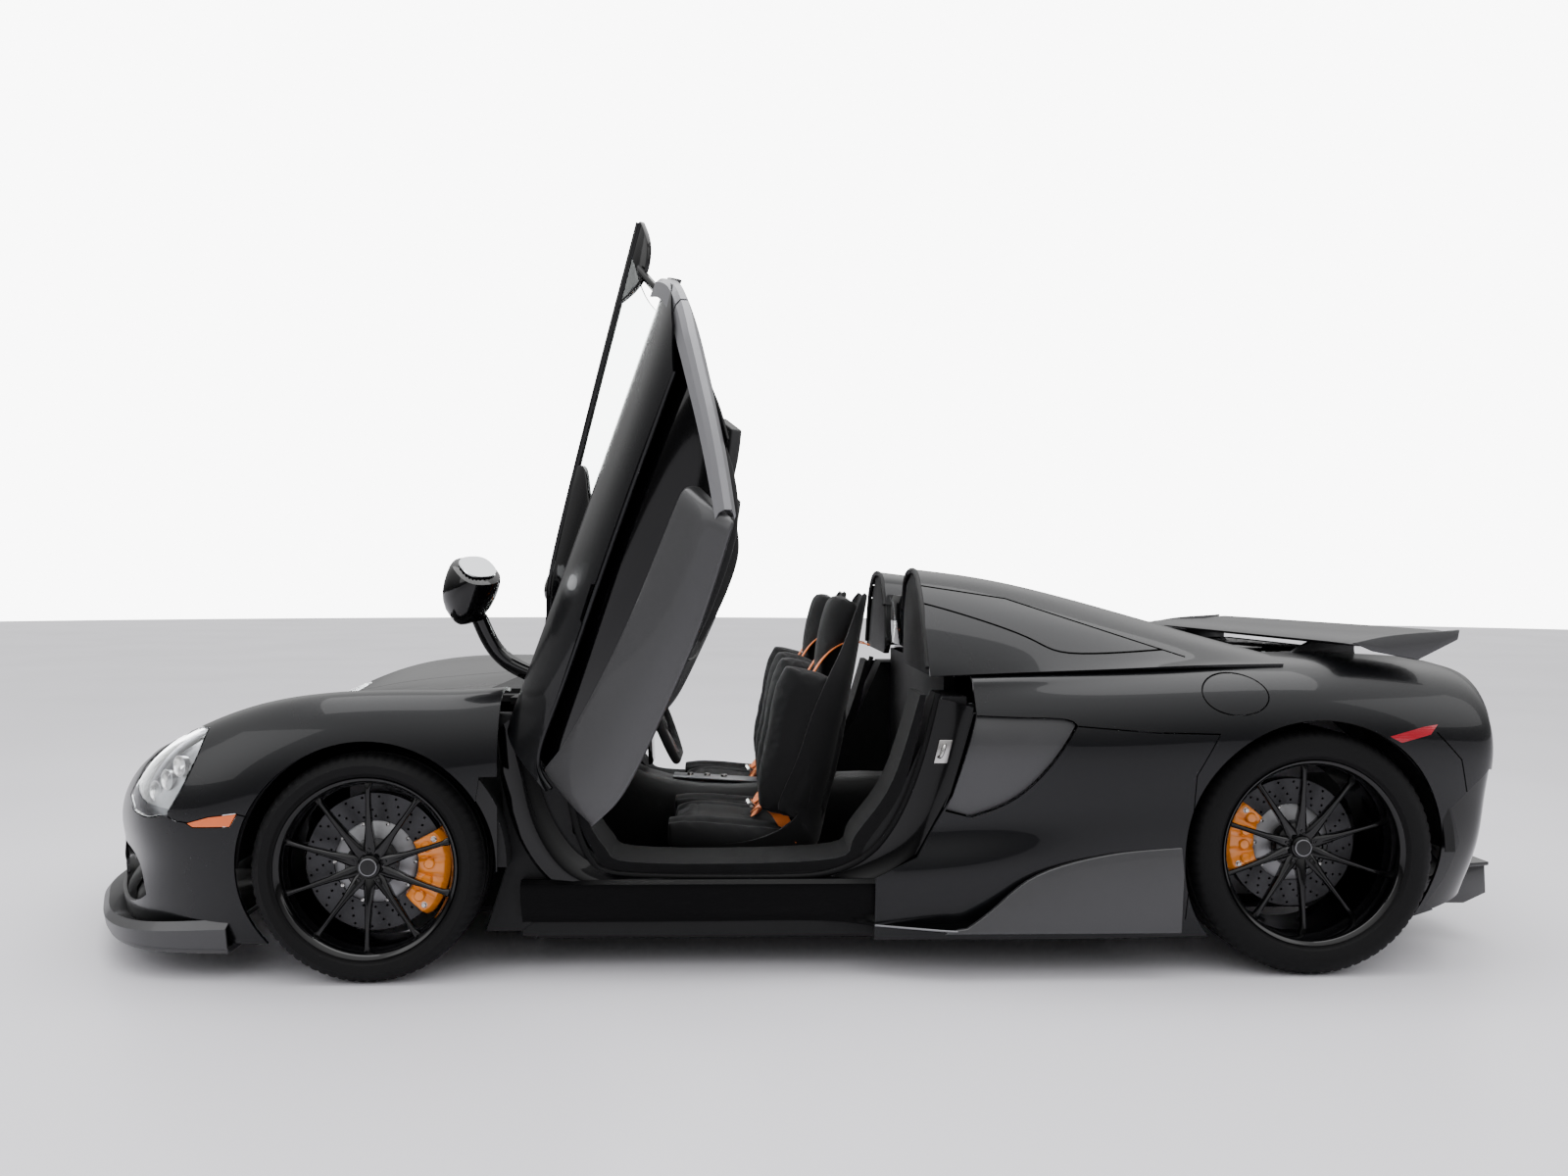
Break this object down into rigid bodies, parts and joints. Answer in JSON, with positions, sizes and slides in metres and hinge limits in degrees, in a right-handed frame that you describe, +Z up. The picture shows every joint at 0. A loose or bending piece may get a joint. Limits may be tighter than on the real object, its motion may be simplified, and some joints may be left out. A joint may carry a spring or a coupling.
{
  "type": "supercar",
  "caption": "Open-top two-seat supercar with swing-up doors, a mid engine behind twin buttresses, a fixed rear wing and thin-spoked wheels.",
  "frame": {"origin": "on the ground, below the middle of the car's length and width", "axes": "+X towards the tail, +Y to the car's right, +Z up"},
  "size_m": [4.594, 3.0256, 2.0346],
  "materials": {
    "carbon_tub": "dark bare carbon composite with a satin lacquer",
    "body_paint": "very dark metallic grey under a deep clear coat",
    "gloss_black": "polished black lacquer",
    "satin_graphite": "satin dark graphite",
    "black_trim": "grained black plastic",
    "clear_glass": "clear laminated glass with a faint green tint",
    "lamp_lens": "clear polycarbonate over dark lamp internals",
    "red_lens": "red lamp lens",
    "tyre_rubber": "matt black tyre rubber",
    "black_alloy": "gloss black forged alloy",
    "cast_alloy": "bare cast aluminium",
    "seat_cloth": "black suede cloth",
    "steel": "heat-stained steel"
  },
  "bodies": {
    "car_body": {"tub": "carbon_tub", "underbody": "carbon_tub", "front_bumper": "body_paint", "front_splitter": "satin_graphite", "front_fenders": "body_paint", "cowl": "black_trim", "windscreen": "clear_glass", "windscreen_frame": "gloss_black", "headlights": "lamp_lens", "arch_liners": "black_trim", "rear_quarters": "body_paint", "side_intakes": "satin_graphite", "side_skirts": "gloss_black", "tonneau": "body_paint", "engine_cover": "black_trim", "engine": "cast_alloy", "exhausts": "steel", "rear_bumper": "body_paint", "diffuser": "carbon_tub", "rear_wing": "satin_graphite", "tail_lights": "red_lens", "left_seat": "seat_cloth", "right_seat": "seat_cloth", "dashboard": "black_trim", "centre_console": "black_trim", "suspension_arms": "cast_alloy", "rear_uprights": "cast_alloy", "front_boot": "black_trim"},
    "left_door": {"left_door_skin": "body_paint", "left_door_panel": "satin_graphite", "left_door_glass": "clear_glass", "left_door_mirror": "gloss_black"},
    "left_steering": {"front_left_upright": "cast_alloy"},
    "front_left_road_wheel": {"front_left_tyre": "tyre_rubber", "front_left_wheel": "black_alloy"},
    "rear_left_road_wheel": {"rear_left_tyre": "tyre_rubber", "rear_left_wheel": "black_alloy"},
    "right_door": {"right_door_skin": "body_paint", "right_door_panel": "satin_graphite", "right_door_glass": "clear_glass", "right_door_mirror": "gloss_black"},
    "right_steering": {"front_right_upright": "cast_alloy"},
    "front_right_road_wheel": {"front_right_tyre": "tyre_rubber", "front_right_wheel": "black_alloy"},
    "rear_right_road_wheel": {"rear_right_tyre": "tyre_rubber", "rear_right_wheel": "black_alloy"},
    "luggage_lid": {"front_lid": "body_paint"},
    "filler_flap": {"fuel_flap": "body_paint"},
    "hand_wheel": {"steering_wheel": "seat_cloth"}
  },
  "joints": [
    {"name": "right_door_swing", "type": "hinge", "parent": "car_body", "child": "right_door", "pos_m": [-0.72, 0.7, 0.876], "axis": [0.332, -0.7561, 0.564], "range_deg": [-73, 0]},
    {"name": "left_door_swing", "type": "hinge", "parent": "car_body", "child": "left_door", "pos_m": [-0.72, -0.7, 0.876], "axis": [-0.332, -0.7561, -0.564], "range_deg": [-73, 0]},
    {"name": "left_steer", "type": "hinge", "parent": "car_body", "child": "left_steering", "pos_m": [-1.215, -0.75, 0.32], "axis": [0, 0, 1], "range_deg": [-30, 30]},
    {"name": "front_left_roll", "type": "hinge", "parent": "left_steering", "child": "front_left_road_wheel", "pos_m": [-1.215, -0.84, 0.32], "axis": [0, 1, 0], "continuous": true},
    {"name": "rear_left_roll", "type": "hinge", "parent": "car_body", "child": "rear_left_road_wheel", "pos_m": [1.455, -0.8, 0.353], "axis": [0, 1, 0], "continuous": true},
    {"name": "right_steer", "type": "hinge", "parent": "car_body", "child": "right_steering", "pos_m": [-1.215, 0.75, 0.32], "axis": [0, 0, 1], "range_deg": [-30, 30]},
    {"name": "front_right_roll", "type": "hinge", "parent": "right_steering", "child": "front_right_road_wheel", "pos_m": [-1.215, 0.84, 0.32], "axis": [0, 1, 0], "continuous": true},
    {"name": "rear_right_roll", "type": "hinge", "parent": "car_body", "child": "rear_right_road_wheel", "pos_m": [1.455, 0.8, 0.353], "axis": [0, 1, 0], "continuous": true},
    {"name": "lid_swing", "type": "hinge", "parent": "car_body", "child": "luggage_lid", "pos_m": [-1.014, 0, 0.775], "axis": [0, 1, 0], "range_deg": [0, 55]},
    {"name": "flap_swing", "type": "hinge", "parent": "car_body", "child": "filler_flap", "pos_m": [1.142, -0.89959, 0.75741], "axis": [0, 0.4311, 0.9023], "range_deg": [-80, 0]},
    {"name": "hand_wheel_turn", "type": "hinge", "parent": "car_body", "child": "hand_wheel", "pos_m": [-0.44, -0.37, 0.68], "axis": [0.9272, 0, 0.3746], "range_deg": [-450, 450]}
  ],
  "couplings": [
    {"joint": "right_steer", "follows": "left_steer", "ratio": 1}
  ]
}
